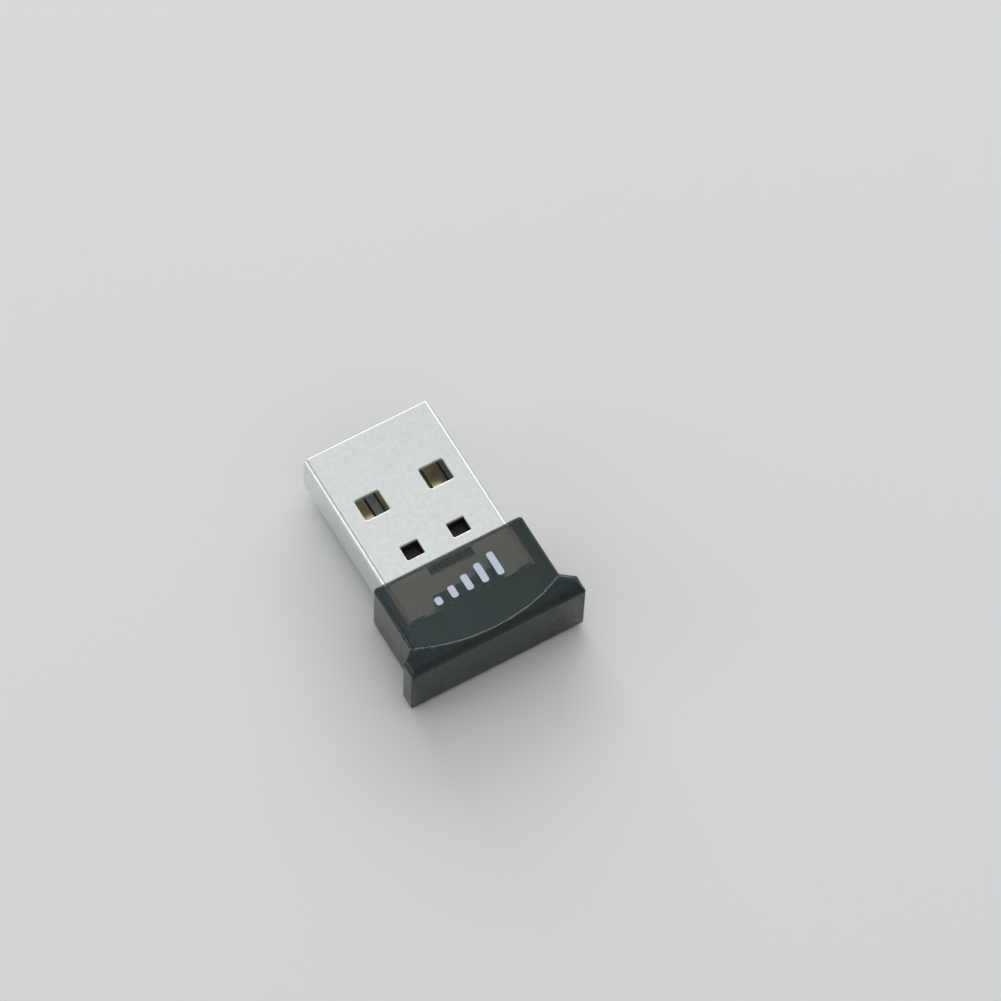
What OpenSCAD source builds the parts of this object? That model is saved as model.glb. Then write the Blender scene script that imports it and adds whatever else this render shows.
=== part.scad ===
// Short-range radio adapter for a computer's flat serial socket.
// A folded sheet plug runs into a clear smoke-grey cap, and the cap holds the circuit board.
// X runs across the plug, +Y points out of its mouth and +Z is up. The origin is under
// the middle of the whole part, level with its lowest face.

/* [Plug] */
// Width of the metal plug
plug_w = 12; // [11.6:0.1:12.4]
// Height of the metal plug
plug_h = 4.5; // [4.3:0.05:4.8]
// Length of the plug in front of the cap
plug_reach = 13.6; // [13:0.1:15]
// Length of the plug inside the cap
plug_tail = 4.2; // [3.8:0.1:4.6]
// Thickness of the folded sheet
sheet_t = 0.3; // [0.25:0.01:0.35]
// Outer radius of the long folds
fold_r = 0.5; // [0.4:0.05:0.8]
// Bevel round the mouth
mouth_bevel = 0.12; // [0.05:0.01:0.15]

/* [Plug windows] */
// Width of metal between a large window and the plug's side
latch_side = 1.8; // [1.6:0.05:2]
// Width of a large window
latch_w = 2.3; // [2:0.05:2.6]
// Length of a large window
latch_len = 2.1; // [1.6:0.05:2.4]
// Distance from the mouth to the large windows
latch_from = 5.4; // [4.8:0.1:6]
// Corner radius of a large window
latch_r = 0.2; // [0.1:0.05:0.3]
// Width of metal between a small window and the plug's side
catch_side = 2.975; // [2.6:0.025:3.2]
// Width of a small window
catch_w = 1.65; // [1.4:0.05:1.9]
// Length of a small window
catch_len = 1.4; // [1:0.05:1.6]
// Distance from the small windows to the cap
catch_back = 1.2; // [0.8:0.1:1.6]
// Corner radius of a small window, and of the slot in the tail
catch_r = 0.1; // [0.05:0.05:0.2]

/* [Plug seam and tail] */
// Gap of the seam under the plug
seam_gap = 0.06; // [0.04:0.01:0.1]
// Reach of a dovetail across the seam
lock_reach = 1.1; // [0.8:0.05:1.4]
// Length of a dovetail along the seam
lock_len = 1.6; // [1.2:0.1:2]
// Slope of a dovetail's sides
lock_slope = 0.25; // [0.1:0.05:0.4]
// Distances from the mouth to the two dovetails
lock_from = [2.6, 8.4];
// Width of the slot that the cap's catch drops into
slot_w = 4.2; // [3:0.1:5]
// Length of that slot
slot_len = 0.9; // [0.7:0.05:1]
// Distance from the cap's front to the slot
slot_from = 0.25; // [0.2:0.05:0.4]
// Width of the notch in the middle of the tail
notch_w = 6; // [4:0.2:8]
// Depth of that notch
notch_len = 1.4; // [1:0.1:1.8]
// Width of the step at each corner of the tail
step_w = 1.6; // [1:0.1:2]
// Depth of that step
step_len = 0.25; // [0.1:0.05:0.4]

/* [Contact carrier] */
// Height of the tongue's top over the middle of the plug
tongue_top = 0; // [-0.1:0.01:0.1]
// Distance from the mouth to the tongue
tongue_set = 0.6; // [0.3:0.1:1]
// Distance from the carrier's back to the cap
carrier_short = 1; // [0.8:0.1:1.2]
// Length of the block at its back
block_len = 3.2; // [3:0.1:3.6]
// Bevel on the front edge of the tongue
tongue_bevel = 0.35; // [0.2:0.05:0.5]
// Free space round the carrier
carrier_fit = 0.05; // [0.03:0.01:0.1]
// Depth of the pocket under each small window
pocket_depth = 0.9; // [0.5:0.1:1.2]
// Free width beside each contact
groove_w = 0.2; // [0.14:0.02:0.24]
// Depth of the grooves beside a contact
groove_depth = 0.7; // [0.5:0.05:1]

/* [Contacts] */
// Number of equal steps across the plug that place its contacts
contact_steps = 24; // [23:1:25]
// Steps across a contact
width_steps = 2.7; // [2.4:0.1:2.8]
// Steps from the middle to the inner contacts
inner_steps = 2; // [1.9:0.1:2.2]
// Steps from the middle to the outer contacts
outer_steps = 7; // [6.8:0.1:7.2]
// Thickness of a contact
contact_t = 0.2; // [0.15:0.01:0.25]
// Depth of the contacts below the top of the tongue
contact_sink = 0.05; // [0.02:0.01:0.1]
// Distance from the mouth to the outer contacts
contact_set = 1.5; // [1.2:0.1:2]
// Distance that the inner contacts start further back
data_setback = 1; // [0.5:0.1:1.5]
// Length of the leg bent down at the front
hook_len = 0.8; // [0.6:0.05:1]
// Length of the tail on the board
contact_tail = 1.3; // [1:0.1:1.5]
// Free space round a contact in the carrier
contact_fit = 0.03; // [0.02:0.01:0.05]

/* [Cap] */
// Length of the cap
cap_len = 8.7; // [8.4:0.1:11]
// Thickness of the cap beside the plug
side_wall = 1; // [0.8:0.05:1.4]
// Thickness of the cap above and below the plug
roof_wall = 0.75; // [0.6:0.05:1]
// Thickness of the back wall
back_wall = 0.9; // [0.7:0.05:1.2]
// Free space between the plug and the cap
cap_fit = 0.05; // [0.03:0.01:0.1]
// Radius of the cap's long edges
body_edge_r = 0.4; // [0.2:0.05:0.5]
// Radius of the edges round the cap's front
front_edge_r = 0.3; // [0.15:0.05:0.4]
// Radius of the long edges in the hollow behind the plug
hollow_r = 0.3; // [0.1:0.05:0.5]
// Reach of the catch into the plug's slot
catch_drop = 0.25; // [0.15:0.01:0.28]
// Free space round the catch in the slot
catch_fit = 0.12; // [0.08:0.01:0.15]

/* [Grip] */
// Length of the grip at its sides, from the ears' front to the back
grip_len = 2.5; // [2.3:0.1:3.2]
// Distance that each ear stands out
ear_out = 1.2; // [0.8:0.05:1.4]
// Length over which an ear flares out
flare_len = 0.9; // [0.7:0.05:1.2]
// Height of the grip over the body
grip_rise = 0.18; // [0.15:0.01:0.4]
// Depth of the arc in the grip's front edge
arc_depth = 1.6; // [1:0.1:1.8]
// Radius of the edge along the arc
arc_edge_r = 0.12; // [0.05:0.01:0.14]
// Radius of the grip's other edges
grip_edge_r = 0.6; // [0.3:0.05:0.7]
// Radius of the grip's corners seen from above
grip_corner_r = 0.3; // [0.1:0.05:0.4]

/* [Circuit board] */
// Thickness of the board
board_t = 0.6; // [0.5:0.05:0.7]
// Free space beside the board inside the plug
board_side = 0.2; // [0.15:0.01:0.3]
// Free space before and behind the board
board_end = 0.1; // [0.05:0.01:0.2]
// Free space between the board and the cap's rails
rail_fit = 0.05; // [0.03:0.01:0.1]
// Width of the rails that hold the board
rail_w = 0.6; // [0.4:0.05:0.8]
// Height of each rail
rail_h = 0.5; // [0.3:0.05:0.7]
// Thickness of the copper on the board
copper_t = 0.04; // [0.03:0.01:0.06]
// Distance that a copper land shows round a contact's tail
land_rim = 0.15; // [0.1:0.01:0.2]

/* [Antenna] */
// Width of the antenna's line
line_w = 0.35; // [0.25:0.05:0.4]
// Distance from the board's side to the antenna
line_side = 1.9; // [1.5:0.1:2.2]
// Number of turns
line_turns = 4; // [3:1:4]
// Free space between the plug and the antenna
line_set = 0.35; // [0.2:0.05:0.5]

/* [Parts on the board] */
// Side of the radio chip
radio_side = 5; // [4:0.5:5]
// Free space under the radio chip
under_gap = 0.21; // [0.15:0.01:0.4]
// Distance between the radio chip's lands
radio_pitch = 0.5; // [0.4:0.05:0.5]
// Length of a land under the radio chip
radio_land = 0.4; // [0.3:0.05:0.5]
// Height of the solder under the radio chip
radio_gap = 0.05; // [0.03:0.01:0.08]
// Distance from the radio chip's edges to the round mark in its corner
mark_in = 0.6; // [0.4:0.05:0.8]
// Radius of that mark
mark_r = 0.25; // [0.15:0.05:0.3]
// Depth of that mark
mark_depth = 0.05; // [0.03:0.01:0.1]
// Slope of the small chips' sides
chip_slope = 0.08; // [0.04:0.01:0.1]
// Length of the crystal
crystal_len = 2.5; // [2:0.1:3.2]
// Width of the crystal
crystal_w = 2; // [1.6:0.1:2.5]
// Thickness of the crystal's ceramic base
crystal_base_t = 0.3; // [0.2:0.05:0.4]
// Thickness of the crystal's lid
crystal_lid_t = 0.35; // [0.2:0.05:0.5]
// Width of the base that shows round the lid
crystal_rim = 0.2; // [0.1:0.05:0.3]
// Radius of the base's corners
crystal_r = 0.15; // [0.1:0.05:0.3]
// Length of the small chips
chip_len = 2.9; // [2.6:0.1:3]
// Height of the small chips
chip_h = 1; // [0.8:0.05:1.1]
// Width of the memory chip's body
memory_w = 1.6; // [1.4:0.05:1.7]
// Width of the regulator's body
regulator_w = 1.3; // [1.2:0.05:1.4]
// Reach of a chip's leg
leg_reach = 0.55; // [0.5:0.01:0.6]
// Thickness of a chip's leg
leg_t = 0.12; // [0.1:0.01:0.15]
// Width of a chip's leg
leg_w = 0.4; // [0.3:0.05:0.5]
// Distance from a chip's side to the bend in its legs
leg_knee = 0.15; // [0.1:0.01:0.2]
// Distance from a chip's end to its outer legs
leg_in = 0.3; // [0.2:0.05:0.4]
// Length of the smallest parts
tiny_len = 1; // [0.8:0.05:1.1]
// Width of the smallest parts
tiny_w = 0.5; // [0.4:0.05:0.6]
// Height of a small resistor
resistor_h = 0.35; // [0.25:0.05:0.4]
// Length of the lamp and of the choke
small_len = 1.6; // [1.4:0.1:1.7]
// Width of the lamp and of the choke
small_w = 0.8; // [0.7:0.05:0.9]
// Thickness of the lamp's base
lamp_base_t = 0.2; // [0.1:0.05:0.3]
// Height of the lamp's clear top
lamp_top_h = 0.45; // [0.3:0.05:0.6]
// Length of the lamp's clear top
lamp_top_len = 1.1; // [0.9:0.05:1.2]
// Slope of the sides of the lamp and of the solder
drop_slope = 0.12; // [0.05:0.01:0.15]
// Width and height of the solder inside each side of the plug
fillet = 0.6; // [0.4:0.05:0.7]

/* [Places on the board] */
// Distance from the board's front to the middle of the radio chip
radio_back = 3.1; // [3:0.1:3.4]
// Distance from the board's side to a row of small parts
side_row_in = 1.3; // [1.2:0.05:1.4]
// Distance from the board's front to the first part in such a row
side_row_back = 0.9; // [0.8:0.05:1]
// Free space between neighbouring small parts
part_gap = 0.3; // [0.2:0.05:0.35]
// Distance from the board's back to the last row
rear_row_in = 1.6; // [1.5:0.1:1.8]
// Distance from the board's side to the lamp and to the choke
rear_side_in = 2.1; // [1.9:0.1:2.4]
// Distance from the middle to the two parts behind the radio chip
pair_side = 0.6; // [0.5:0.05:0.8]

/* [Hidden] */
$fn = 48;
// Extra length that carries a cut clear of a face
eps = 0.5;
// Depth by which joined shapes run into each other
bite = 0.2;

// Overall sizes, measured back from the mouth and up from the plug's axis
plug_len = plug_reach + plug_tail;
total_len = plug_reach + cap_len;
body_w = plug_w + 2 * (cap_fit + side_wall);
body_h = plug_h + 2 * (cap_fit + roof_wall);
grip_w = body_w + 2 * ear_out;
grip_h = body_h + 2 * grip_rise;

// Space inside the plug
inner_w = plug_w - 2 * sheet_t;
inner_h = plug_h - 2 * sheet_t;
inner_top = inner_h / 2;
inner_r = max(fold_r - sheet_t, 0.05);

// Windows
latch_x = (plug_w - latch_w) / 2 - latch_side;
catch_x = (plug_w - catch_w) / 2 - catch_side;
catch_from = plug_reach - catch_back - catch_len;

// Carrier and contacts
contact_step = plug_w / contact_steps;
contact_w = width_steps * contact_step;
inner_x = inner_steps * contact_step;
outer_x = outer_steps * contact_step;
carrier_low = carrier_fit - inner_top;
carrier_w = inner_w - 2 * carrier_fit;
carrier_back = plug_reach - carrier_short;
block_front = carrier_back - block_len;
contact_top = tongue_top - contact_sink;
contact_low = contact_top - contact_t;

// Cap
cap_cavity_w = plug_w + 2 * cap_fit;
cap_cavity_h = plug_h + 2 * cap_fit;
stop_at = plug_len + cap_fit;
rear_cavity_w = inner_w - 2 * (board_side - board_end);
rear_cavity_h = inner_h;
cavity_back = total_len - back_wall;
slot_at = plug_reach + slot_from;
ear_at = total_len - grip_len;
arc_r = (pow(body_w / 2, 2) + pow(arc_depth, 2)) / (2 * arc_depth);
arc_centre = ear_at + arc_depth - arc_r;

// Board and what stands on it
board_w = inner_w - 2 * board_side;
board_top = contact_low - copper_t;
board_low = board_top - board_t;
board_front = carrier_back + board_end;
board_back = cavity_back - board_end;
tail_end = carrier_back + contact_tail;
parts_front = tail_end + 2 * land_rim + part_gap / 2;
upper_row = parts_front + chip_len / 2;
memory_span = memory_w + 2 * leg_reach;
regulator_span = regulator_w + 2 * leg_reach;
row_w = inner_w - 2 * fillet;
row_gap = (row_w - crystal_len - memory_span - regulator_span) / 4;
crystal_x = row_gap + (crystal_len - row_w) / 2;
memory_x = crystal_x + row_gap + (crystal_len + memory_span) / 2;
regulator_x = memory_x + row_gap + (memory_span + regulator_span) / 2;
radio_at = board_front + radio_back;
radio_t = inner_top + board_low - radio_gap - under_gap;
side_row_x = board_w / 2 - side_row_in;
side_row_from = board_front + side_row_back;
side_row_pitch = tiny_len + part_gap;
rear_row = board_back - rear_row_in;
rear_side = board_w / 2 - rear_side_in;
line_pitch = (board_w / 2 - line_side) / line_turns;
line_from = plug_len + line_set;
line_to = board_back - land_rim;
// Share of a small part's length that each of its metal ends takes
end_share = 0.25;

// Box centred on x, from one depth behind the mouth to another, between two heights
module block(w, from, to, low, high, x = 0) {
    translate([x - w / 2, -to, low])
        cube([w, to - from, high - low]);
}

// Rectangle with round corners, centred on the origin
module round_rect(w, h, r) {
    square([w - 2 * r, h], center = true);
    square([w, h - 2 * r], center = true);
    for (x = [-1, 1], y = [-1, 1])
        translate([x * (w / 2 - r), y * (h / 2 - r)])
            circle(r = r);
}

// Bar along the plug, with its section drawn in X and Z
module along_plug(from, to) {
    translate([0, -from, 0])
        rotate([90, 0, 0])
            linear_extrude(height = to - from)
                children();
}

// Block whose three views all have round corners
module round_block(w, from, to, h, long_r, plan_r, end_r) {
    intersection() {
        along_plug(from, to)
            round_rect(w, h, long_r);
        translate([0, -(from + to) / 2, -h])
            linear_extrude(height = 2 * h)
                round_rect(w, to - from, plan_r);
        translate([-w, -(from + to) / 2, 0])
            rotate([90, 0, 90])
                linear_extrude(height = 2 * w)
                    round_rect(to - from, h, end_r);
    }
}

// Mound with four sloping sides, on a face at height zero
module mound(w, l, h, slope) {
    intersection() {
        translate([0, l / 2, 0])
            rotate([90, 0, 0])
                linear_extrude(height = l)
                    polygon([[-w / 2, 0], [w / 2, 0], [w / 2 - slope, h], [slope - w / 2, h]]);
        translate([-w / 2, 0, 0])
            rotate([90, 0, 90])
                linear_extrude(height = w)
                    polygon([[-l / 2, 0], [l / 2, 0], [l / 2 - slope, h], [slope - l / 2, h]]);
    }
}

// Thin line through a list of points
module thin_line(points, width) {
    for (i = [0 : len(points) - 2]) {
        step = points[i + 1] - points[i];
        translate(points[i])
            rotate(atan2(step[1], step[0]))
                translate([-width / 2, -width / 2])
                    square([norm(step) + width, width]);
    }
}

// Everything is drawn from the plug's mouth and axis, and then stood in the part's frame
module in_frame() {
    translate([0, total_len / 2, grip_h / 2])
        children();
}

// Solid inside the outer face of the plug, with the bevel round its mouth
module plug_form() {
    intersection() {
        along_plug(0, plug_len)
            round_rect(plug_w, plug_h, fold_r);
        translate([0, 0, -plug_h])
            linear_extrude(height = 2 * plug_h)
                bevelled_end(plug_w);
        translate([-plug_w, 0, 0])
            rotate([0, 90, 0])
                linear_extrude(height = 2 * plug_w)
                    bevelled_end(plug_h);
    }
}

// View of the plug from above or from the side, with bevelled front corners
module bevelled_end(w) {
    polygon([
        [-w / 2, -plug_len - eps], [w / 2, -plug_len - eps],
        [w / 2, -mouth_bevel], [w / 2 - mouth_bevel, 0],
        [mouth_bevel - w / 2, 0], [-w / 2, -mouth_bevel],
    ]);
}

// Seam under the plug, with a dovetail to each side
module seam_cut() {
    first = lock_from[0];
    second = lock_from[1];
    translate([0, 0, -plug_h / 2 - eps])
        linear_extrude(height = sheet_t + 2 * eps)
            thin_line([
                [0, eps],
                [0, -first],
                [lock_reach, lock_slope - first],
                [lock_reach, -first - lock_len - lock_slope],
                [0, -first - lock_len],
                [0, -second],
                [-lock_reach, lock_slope - second],
                [-lock_reach, -second - lock_len - lock_slope],
                [0, -second - lock_len],
                [0, -plug_len - eps],
            ], seam_gap);
}

// Punch with round corners, from one depth behind the mouth on, between two heights
module punch(w, l, from, r, low, high, x = 0) {
    translate([x, -from - l / 2, low])
        linear_extrude(height = high - low)
            round_rect(w, l, r);
}

module plug_shell() {
    window_low = inner_top - eps;
    window_high = plug_h / 2 + eps;
    color([0.80, 0.80, 0.77])
        in_frame()
            difference() {
                plug_form();
                along_plug(-eps, plug_len + eps)
                    round_rect(inner_w, inner_h, inner_r);
                for (side = [-1, 1]) {
                    punch(latch_w, latch_len, latch_from, latch_r,
                        -window_high, window_high, side * latch_x);
                    punch(catch_w, catch_len, catch_from, catch_r,
                        window_low, window_high, side * catch_x);
                    block(2 * step_w, plug_len - step_len, plug_len + eps,
                        -window_high, window_high, side * plug_w / 2);
                }
                punch(slot_w, slot_len, slot_at, catch_r, window_low, window_high);
                block(notch_w, plug_len - notch_len, plug_len + eps, -window_high, window_high);
                seam_cut();
            }
}

// Grooves and seat for one contact in the tongue
module contact_seat(x, from) {
    seat_w = contact_w + 2 * contact_fit;
    groove_x = (contact_w + groove_w + contact_fit) / 2;
    block(contact_w + 2 * groove_w, from - contact_fit, block_front,
        contact_low - contact_fit, tongue_top + eps, x);
    for (side = [-1, 1])
        block(groove_w - contact_fit, from + contact_t, block_front,
            tongue_top - groove_depth, tongue_top + eps, x + side * groove_x);
    block(seat_w, from - contact_fit, from + contact_t + contact_fit,
        contact_top - hook_len - contact_fit, tongue_top + eps, x);
    block(seat_w, block_front - eps, carrier_back + eps,
        contact_low - contact_fit, contact_top + contact_fit, x);
}

module contact_carrier() {
    tongue_h = tongue_top - carrier_low;
    bevel_side = sqrt(2) * tongue_bevel;
    color([0.13, 0.14, 0.15])
        in_frame()
            difference() {
                union() {
                    along_plug(block_front, carrier_back)
                        round_rect(carrier_w, inner_h - 2 * carrier_fit, inner_r);
                    difference() {
                        block(carrier_w - 2 * inner_r, tongue_set, block_front + bite,
                            carrier_low, tongue_top);
                        translate([0, -tongue_set, tongue_top])
                            rotate([45, 0, 0])
                                cube([2 * plug_w, bevel_side, bevel_side], center = true);
                    }
                    block(carrier_w, tongue_set, block_front + bite,
                        carrier_low + inner_r, tongue_top - tongue_h / 4);
                }
                for (side = [-1, 1]) {
                    contact_seat(side * inner_x, contact_set + data_setback);
                    contact_seat(side * outer_x, contact_set);
                    punch(catch_w, catch_len, catch_from, catch_r,
                        inner_top - carrier_fit - pocket_depth, inner_top + eps, side * catch_x);
                }
            }
}

// Strip with its front bent down into the tongue and its tail straight out to the board
module contact(x, from) {
    bend = contact_t / 2;
    color([0.85, 0.66, 0.30])
        in_frame()
            translate([x - contact_w / 2, 0, 0])
                rotate([90, 0, 90])
                    linear_extrude(height = contact_w)
                        polygon([
                            [-tail_end, contact_low], [-from - contact_t, contact_low],
                            [-from - contact_t, contact_top - hook_len], [-from, contact_top - hook_len],
                            [-from, contact_top - bend], [-from - bend, contact_top],
                            [-tail_end, contact_top],
                        ]);
}

module supply_contact() {
    contact(-outer_x, contact_set);
}

module data_minus_contact() {
    contact(-inner_x, contact_set + data_setback);
}

module data_plus_contact() {
    contact(inner_x, contact_set + data_setback);
}

module ground_contact() {
    contact(outer_x, contact_set);
}

// Bar along one ear's flare, on its inner side, with round edges
module flare_bar() {
    reach = 2 * grip_w;
    translate([body_w / 2, -ear_at, 0])
        rotate([90, 0, 90 - atan2(flare_len, ear_out)])
            translate([-reach / 2, 0, 0])
                linear_extrude(height = 2 * reach, center = true)
                    round_rect(reach, grip_h, grip_edge_r);
}

// Everything behind a circle, with round edges where the circle's wall meets the two faces
module arc_front() {
    reach = 2 * grip_w;
    translate([0, -arc_centre, 0])
        rotate_extrude($fn = 180) {
            translate([arc_r + arc_edge_r, -grip_h / 2])
                square([reach, grip_h]);
            translate([arc_r, arc_edge_r - grip_h / 2])
                square([reach, grip_h - 2 * arc_edge_r]);
            for (side = [-1, 1])
                translate([arc_r + arc_edge_r, side * (grip_h / 2 - arc_edge_r)])
                    circle(r = arc_edge_r);
        }
}

// Grip behind the arc, with flared ears and every outer edge round
module grip_form() {
    intersection() {
        arc_front();
        round_block(grip_w, plug_len, total_len, grip_h, grip_edge_r, grip_corner_r, grip_edge_r);
        flare_bar();
        mirror([1, 0, 0])
            flare_bar();
    }
}

module cap() {
    rail_x = (rear_cavity_w - rail_w + bite) / 2;
    rail_top = board_top + rail_fit;
    rail_low = board_low - rail_fit;
    ceiling = cap_cavity_h / 2;
    color([0.20, 0.23, 0.24, 0.75])
        in_frame() {
            difference() {
                union() {
                    round_block(body_w, plug_reach, total_len - back_wall / 2, body_h,
                        body_edge_r, front_edge_r, front_edge_r);
                    grip_form();
                }
                along_plug(plug_reach - eps, stop_at)
                    round_rect(cap_cavity_w, cap_cavity_h, fold_r + cap_fit);
                along_plug(stop_at - eps, cavity_back)
                    round_rect(rear_cavity_w, rear_cavity_h, hollow_r);
            }
            for (side = [-1, 1]) {
                block(rail_w + bite, stop_at, cavity_back + bite,
                    rail_top, rail_top + rail_h, side * rail_x);
                block(rail_w + bite, stop_at, cavity_back + bite,
                    rail_low - rail_h, rail_low, side * rail_x);
            }
            block(slot_w - 2 * catch_fit, slot_at + catch_fit, slot_at + slot_len - catch_fit,
                ceiling - catch_drop, ceiling + bite);
        }
}

module circuit_board() {
    color([0.05, 0.30, 0.22])
        in_frame()
            block(board_w, board_front, board_back, board_low, board_top);
}

module contact_lands() {
    color([0.80, 0.55, 0.30])
        in_frame()
            for (x = [-outer_x, -inner_x, inner_x, outer_x])
                block(contact_w + 2 * land_rim, board_front + land_rim, tail_end + 2 * land_rim,
                    board_top, board_top + copper_t, x);
}

// Line folded to and fro behind the plug, with a feed that runs forward under it
module antenna_line() {
    far = -line_to + line_w / 2;
    near = -line_from - line_w / 2;
    start = -line_turns * line_pitch;
    turns = [for (i = [0 : 2 * line_turns]) each [
        [start + i * line_pitch, i % 2 == 0 ? near : far],
        [start + i * line_pitch, i % 2 == 0 ? far : near],
    ]];
    color([0.10, 0.42, 0.30])
        in_frame()
            translate([0, 0, board_top])
                linear_extrude(height = copper_t)
                    thin_line(turns, line_w);
}

module radio_chip() {
    dot_at = radio_side / 2 - mark_in;
    color([0.10, 0.10, 0.11])
        in_frame()
            translate([0, -radio_at, board_low - radio_gap])
                mirror([0, 0, 1])
                    difference() {
                        mound(radio_side, radio_side, radio_t, chip_slope / 2);
                        translate([-dot_at, dot_at, radio_t - mark_depth])
                            cylinder(h = eps, r = mark_r);
                    }
}

module radio_lands() {
    count = floor((radio_side - 2 * radio_land) / radio_pitch);
    first = -(count - 1) * radio_pitch / 2 - radio_pitch / 4;
    color([0.75, 0.75, 0.74])
        in_frame()
            translate([0, -radio_at, board_low - radio_gap]) {
                for (turn = [0 : 90 : 270], i = [0 : count - 1])
                    rotate(turn)
                        translate([first + i * radio_pitch, radio_side / 2 - radio_land, 0])
                            cube([radio_pitch / 2, radio_land, radio_gap]);
                translate([-radio_side / 4, -radio_side / 4, 0])
                    cube([radio_side / 2, radio_side / 2, radio_gap]);
            }
}

module crystal_base() {
    color([0.72, 0.68, 0.60])
        in_frame()
            translate([crystal_x, -upper_row, board_top])
                linear_extrude(height = crystal_base_t)
                    round_rect(crystal_len, crystal_w, crystal_r);
}

module crystal_lid() {
    color([0.78, 0.78, 0.76])
        in_frame()
            translate([crystal_x, -upper_row, board_top + crystal_base_t])
                linear_extrude(height = crystal_lid_t)
                    round_rect(crystal_len - 2 * crystal_rim, crystal_w - 2 * crystal_rim, 2 * crystal_r);
}

// Moulded body of a small chip, a little off the board, with a waist at its legs
module chip_body(x, w) {
    gap = leg_t / 2;
    half_h = (chip_h - gap) / 2;
    color([0.09, 0.09, 0.10])
        in_frame()
            translate([x, -upper_row, board_top + gap + half_h])
                for (side = [0, 1])
                    mirror([0, 0, side])
                        mound(w, chip_len, half_h, chip_slope);
}

// Bent leg that leaves the body at half its height and ends flat on the board
module leg(x, w, side, along) {
    mid = board_top + leg_t / 4 + chip_h / 2;
    translate([0, along + leg_w / 2 - upper_row, 0])
        rotate([90, 0, 0])
            linear_extrude(height = leg_w)
                translate([x, 0])
                    mirror([side < 0 ? 1 : 0, 0])
                        translate([w / 2, 0])
                            polygon([
                                [0, mid - leg_t / 2], [leg_knee, mid - leg_t / 2],
                                [leg_knee, board_top], [leg_reach, board_top],
                                [leg_reach, board_top + leg_t], [leg_knee + leg_t, board_top + leg_t],
                                [leg_knee + leg_t, mid + leg_t / 2], [0, mid + leg_t / 2],
                            ]);
}

module memory_chip() {
    chip_body(memory_x, memory_w);
}

module memory_legs() {
    spread = (chip_len - leg_w) / 2 - leg_in;
    color([0.75, 0.75, 0.74])
        in_frame() {
            for (along = [-spread, 0, spread])
                leg(memory_x, memory_w, -1, along);
            for (along = [-spread, spread])
                leg(memory_x, memory_w, 1, along);
        }
}

module regulator_chip() {
    chip_body(regulator_x, regulator_w);
}

module regulator_legs() {
    spread = (chip_len - leg_w) / 2 - leg_in;
    color([0.75, 0.75, 0.74])
        in_frame() {
            for (along = [-spread, spread])
                leg(regulator_x, regulator_w, -1, along);
            leg(regulator_x, regulator_w, 1, 0);
        }
}

// Places under the board: four down each side, and two across behind the radio chip
function side_place(side, i) = [side * side_row_x, -side_row_from - i * side_row_pitch, 90];
capacitor_places = [
    for (i = [0 : 3]) side_place(-1, i),
    for (i = [0 : 1]) side_place(1, i),
];
resistor_places = [
    for (i = [2 : 3]) side_place(1, i),
    for (side = [-1, 1]) [side * pair_side, -rear_row, 90],
];

// Children drawn upwards from the board's lower face, at each place and turned as it says
module under_board(places) {
    in_frame()
        for (place = places)
            translate([place[0], place[1], board_low])
                rotate(place[2])
                    mirror([0, 0, 1])
                        children();
}

// Middle and metal ends of a small part that lies along X
module chip_middle(l, w, h) {
    run = l * (1 - 2 * end_share);
    translate([-run / 2, -w / 2, 0])
        cube([run, w, h]);
}

module chip_ends(l, w, h) {
    run = l * end_share;
    for (side = [-1, 1])
        translate([side * (l - run) / 2 - run / 2, -w / 2, 0])
            cube([run, w, h]);
}

module capacitor_bodies() {
    color([0.62, 0.50, 0.36])
        under_board(capacitor_places)
            chip_middle(tiny_len, tiny_w, tiny_w);
}

module capacitor_ends() {
    color([0.78, 0.78, 0.76])
        under_board(capacitor_places)
            chip_ends(tiny_len, tiny_w, tiny_w);
}

module resistor_bodies() {
    color([0.10, 0.10, 0.11])
        under_board(resistor_places)
            chip_middle(tiny_len, tiny_w, resistor_h);
}

module resistor_ends() {
    color([0.78, 0.78, 0.76])
        under_board(resistor_places)
            chip_ends(tiny_len, tiny_w, resistor_h);
}

module choke_body() {
    color([0.24, 0.22, 0.22])
        under_board([[-rear_side, -rear_row, 90]])
            chip_middle(small_len, small_w, radio_t);
}

module choke_ends() {
    color([0.78, 0.78, 0.76])
        under_board([[-rear_side, -rear_row, 90]])
            chip_ends(small_len, small_w, radio_t);
}

module lamp_base() {
    color([0.90, 0.90, 0.86])
        under_board([[rear_side, -rear_row, 90]])
            translate([-small_len / 2, -small_w / 2, 0])
                cube([small_len, small_w, lamp_base_t]);
}

module lamp_top() {
    color([0.75, 0.85, 0.95])
        under_board([[rear_side, -rear_row, 90]])
            translate([0, 0, lamp_base_t])
                mound(lamp_top_len, small_w, lamp_top_h, drop_slope);
}

// Solder heaped round each contact's tail on its land
module tail_solder() {
    foot = board_top + copper_t;
    run = tail_end - board_front - land_rim;
    color([0.72, 0.73, 0.74])
        in_frame()
            difference() {
                for (x = [-outer_x, -inner_x, inner_x, outer_x])
                    translate([x, -tail_end + run / 2 - land_rim, foot])
                        mound(contact_w + 2 * land_rim, run + land_rim, contact_t, drop_slope);
                for (x = [-outer_x, -inner_x, inner_x, outer_x])
                    block(contact_w, board_front - eps, tail_end, foot - eps, foot + eps, x);
            }
}

// Solder that runs from the board's edge up the plug's side wall
module shell_solder() {
    wall = inner_w / 2;
    color([0.72, 0.73, 0.74])
        in_frame()
            for (side = [0, 1])
                mirror([side, 0, 0])
                    along_plug(slot_at + slot_len + part_gap, plug_len - step_len - part_gap)
                        polygon([
                            [wall, board_top], [wall - fillet, board_top],
                            [wall - fillet / 4, board_top + fillet / 4],
                            [wall, board_top + fillet],
                        ]);
}

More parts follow.
